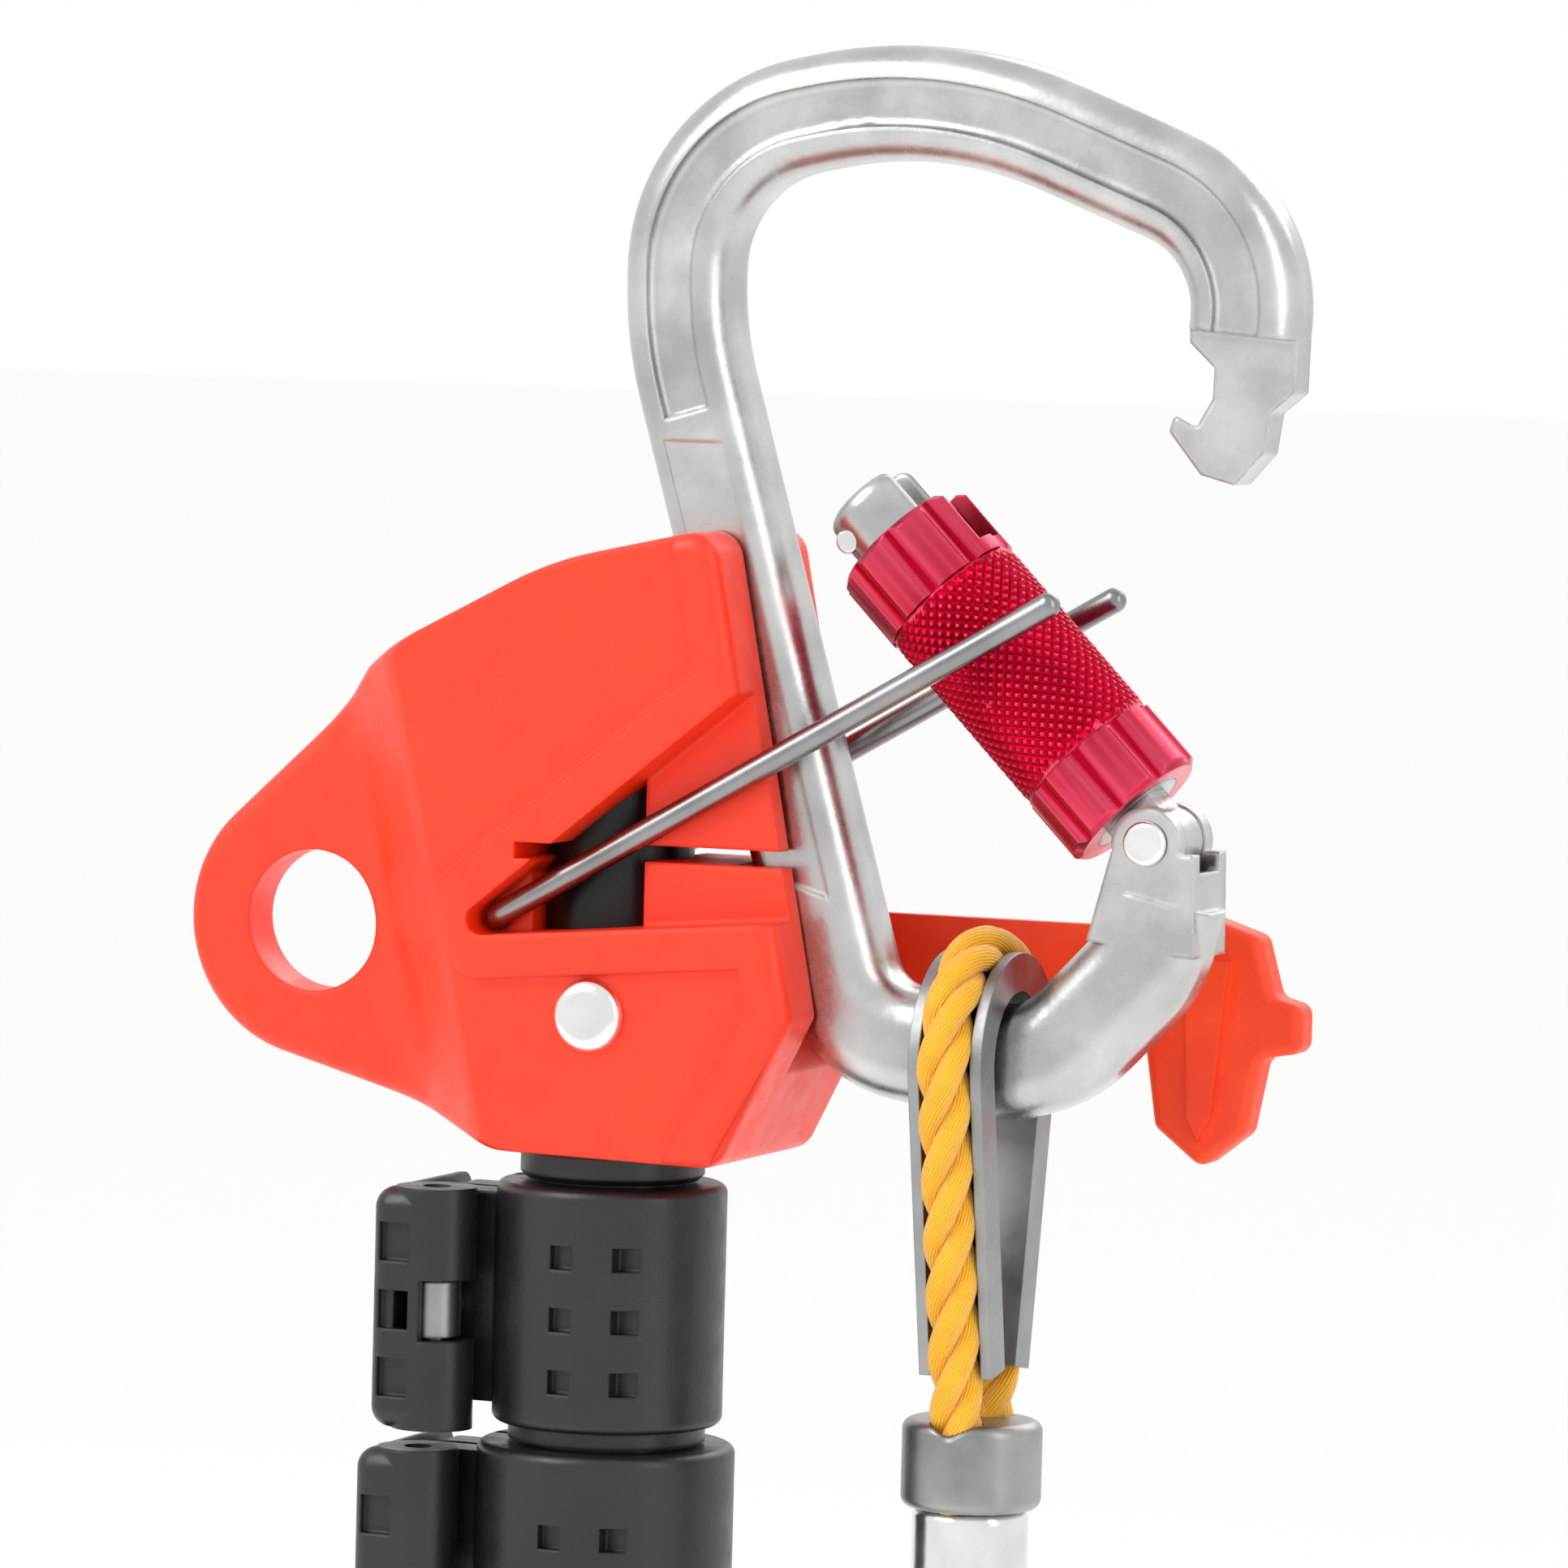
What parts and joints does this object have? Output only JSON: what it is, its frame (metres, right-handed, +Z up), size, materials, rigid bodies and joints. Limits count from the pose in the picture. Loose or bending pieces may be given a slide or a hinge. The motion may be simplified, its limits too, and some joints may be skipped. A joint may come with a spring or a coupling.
{
  "type": "clip stick with locking carabiner",
  "caption": "Telescopic clip stick with an orange head that props open a twist-lock carabiner carrying a short rope strop.",
  "frame": {"origin": "middle of the hand grip on the outer tube's axis", "axes": "+Z up the pole towards the head; the carabiner lies in the XZ plane on the +X side of the pole; the open gate's rivet heads face -Y and +Y"},
  "size_m": [0.1265, 0.0353, 0.5115],
  "materials": {
    "tube_black": "satin black anodised tube",
    "clamp_black": "moulded glass-filled nylon",
    "foot_rubber": "moulded rubber",
    "screw_steel": "zinc plated steel",
    "head_orange": "satin moulded plastic",
    "rivet_steel": "polished stainless steel",
    "wire_steel": "drawn stainless wire",
    "strap_orange": "flexible moulded elastomer",
    "carabiner_grey": "hot forged and tumbled alloy",
    "sleeve_red": "red anodised alloy",
    "thimble_steel": "galvanised sheet steel",
    "rope_yellow": "laid polyester rope",
    "band_grey": "pressed alloy band",
    "ferrule_silver": "bright swaged ferrule"
  },
  "bodies": {
    "outer_section": {"outer_tube": "tube_black", "foot_cap": "foot_rubber", "lower_clamp_collar": "clamp_black", "lower_clamp_screw": "screw_steel", "lower_clamp_pin": "screw_steel"},
    "lower_lever": {"lower_clamp_lever": "clamp_black"},
    "middle_section": {"middle_tube": "tube_black", "middle_tube_bush": "clamp_black", "upper_clamp_collar": "clamp_black", "upper_clamp_screw": "screw_steel", "upper_clamp_pin": "screw_steel"},
    "upper_lever": {"upper_clamp_lever": "clamp_black"},
    "head": {"inner_tube": "tube_black", "inner_tube_bush": "clamp_black", "stop_collar": "clamp_black", "head_shell": "head_orange", "head_rivet": "rivet_steel", "strap_anchor": "strap_orange", "strap_rivet": "rivet_steel"},
    "prop": {"wire_prop": "wire_steel"},
    "strap": {"retaining_strap": "strap_orange"},
    "carabiner": {"carabiner_frame": "carabiner_grey", "gate_rivet": "rivet_steel"},
    "gate": {"gate_core": "carabiner_grey", "latch_pin": "rivet_steel", "gate_plunger": "screw_steel", "gate_spring": "screw_steel"},
    "sleeve": {"lock_sleeve": "sleeve_red", "sleeve_spring": "screw_steel"},
    "strop": {"upper_thimble": "thimble_steel", "upper_rope_eye": "rope_yellow", "upper_band": "band_grey", "upper_ferrule": "ferrule_silver", "strop_rope": "rope_yellow", "lower_ferrule": "ferrule_silver", "lower_band": "band_grey", "lower_rope_eye": "rope_yellow", "lower_thimble": "thimble_steel"}
  },
  "joints": [
    {"name": "lower_lever_flip", "type": "hinge", "parent": "outer_section", "child": "lower_lever", "pos_m": [-0.018, -0.00955, 0.1812], "axis": [0, 0, 1], "range_deg": [0, 130]},
    {"name": "middle_slide", "type": "slide", "parent": "outer_section", "child": "middle_section", "axis": [0, 0, 1], "range_m": [0, 0.26]},
    {"name": "upper_lever_flip", "type": "hinge", "parent": "middle_section", "child": "upper_lever", "pos_m": [-0.0165, -0.00955, 0.2126], "axis": [0, 0, 1], "range_deg": [0, 130]},
    {"name": "inner_slide", "type": "slide", "parent": "middle_section", "child": "head", "axis": [0, 0, 1], "range_m": [0, 0.26]},
    {"name": "prop_swing", "type": "hinge", "parent": "head", "child": "prop", "pos_m": [-0.0103, 0, 0.2552], "axis": [0, -1, 0], "range_deg": [-24, 8]},
    {"name": "strap_flex", "type": "hinge", "parent": "head", "child": "strap", "pos_m": [0.025, 0.0165, 0.2495], "axis": [0, 0, 1], "range_deg": [0, 60], "stiffness_Nm_per_rad": 0.02},
    {"name": "carabiner_lift_off", "type": "slide", "parent": "head", "child": "carabiner", "axis": [1, 0, 0], "range_m": [0, 0.06]},
    {"name": "gate_swing", "type": "hinge", "parent": "carabiner", "child": "gate", "pos_m": [0.0619, 0, 0.2665], "axis": [0, 1, 0], "range_deg": [0, 52]},
    {"name": "sleeve_twist", "type": "hinge", "parent": "gate", "child": "sleeve", "pos_m": [0.0619, 0, 0.2665], "axis": [-0.7009, 0, 0.7133], "range_deg": [0, 90]},
    {"name": "strop_swing", "type": "hinge", "parent": "carabiner", "child": "strop", "pos_m": [0.0424, 0, 0.24237], "axis": [-1, 0, 0], "range_deg": [0, 70]}
  ]
}
